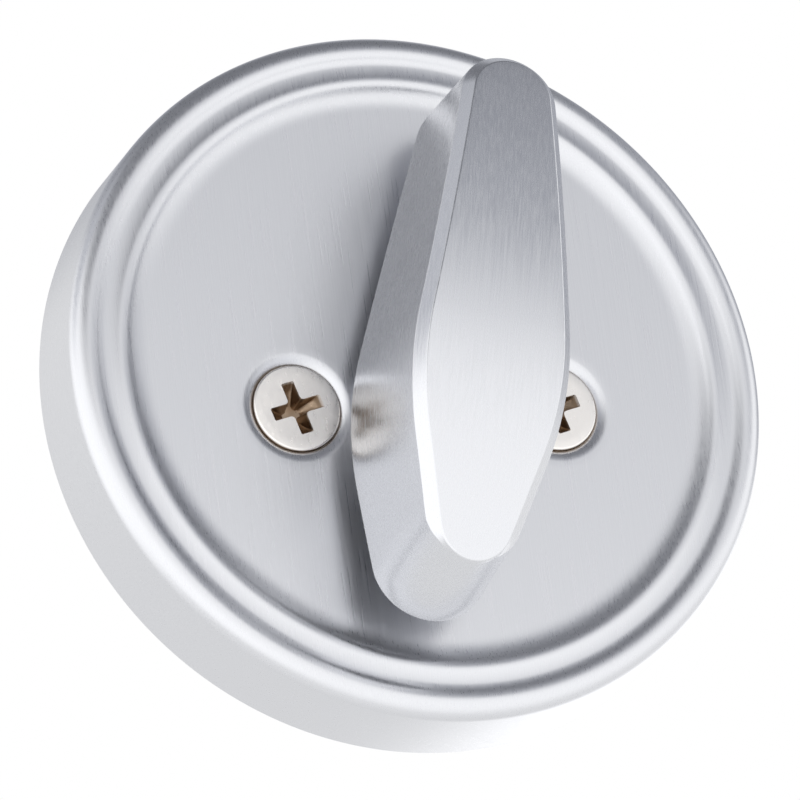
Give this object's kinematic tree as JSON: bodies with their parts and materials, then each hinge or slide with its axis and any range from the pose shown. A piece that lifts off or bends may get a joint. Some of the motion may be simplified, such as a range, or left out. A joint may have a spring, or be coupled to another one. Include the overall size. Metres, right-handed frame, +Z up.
{
  "type": "deadbolt interior thumbturn trim",
  "caption": "Round double-beaded rose with a long finger turn on a spindle and through-screws: the inside trim that throws and draws a single cylinder deadbolt by hand.",
  "frame": {"origin": "the spindle axis on the door face, midway between the two screws", "axes": "+Z up the door, -Y out of the door towards the room, +Y into the door along the spindle and the screws"},
  "size_m": [0.0672, 0.057, 0.0672],
  "materials": {
    "satin_chrome_sheet": "satin chrome, brushed upright",
    "satin_chrome_casting": "satin chrome, brushed lengthwise",
    "nickel_screw": "nickel plate",
    "zinc_plated_steel": "bright zinc plate",
    "white_nylon": "moulded",
    "spring_steel": "oiled black"
  },
  "bodies": {
    "trim": {"rose": "satin_chrome_sheet", "backing_plate": "zinc_plated_steel", "spindle_bush": "white_nylon", "mounting_screws": "nickel_screw", "spring_washer": "spring_steel", "thrust_washer": "zinc_plated_steel"},
    "turn": {"thumbturn": "satin_chrome_casting", "retaining_ring": "spring_steel"}
  },
  "joints": [
    {"name": "spindle_turn", "type": "hinge", "parent": "trim", "child": "turn", "pos_m": [0, 0, 0], "axis": [0, -1, 0], "range_deg": [-77.2, 102.8]}
  ]
}
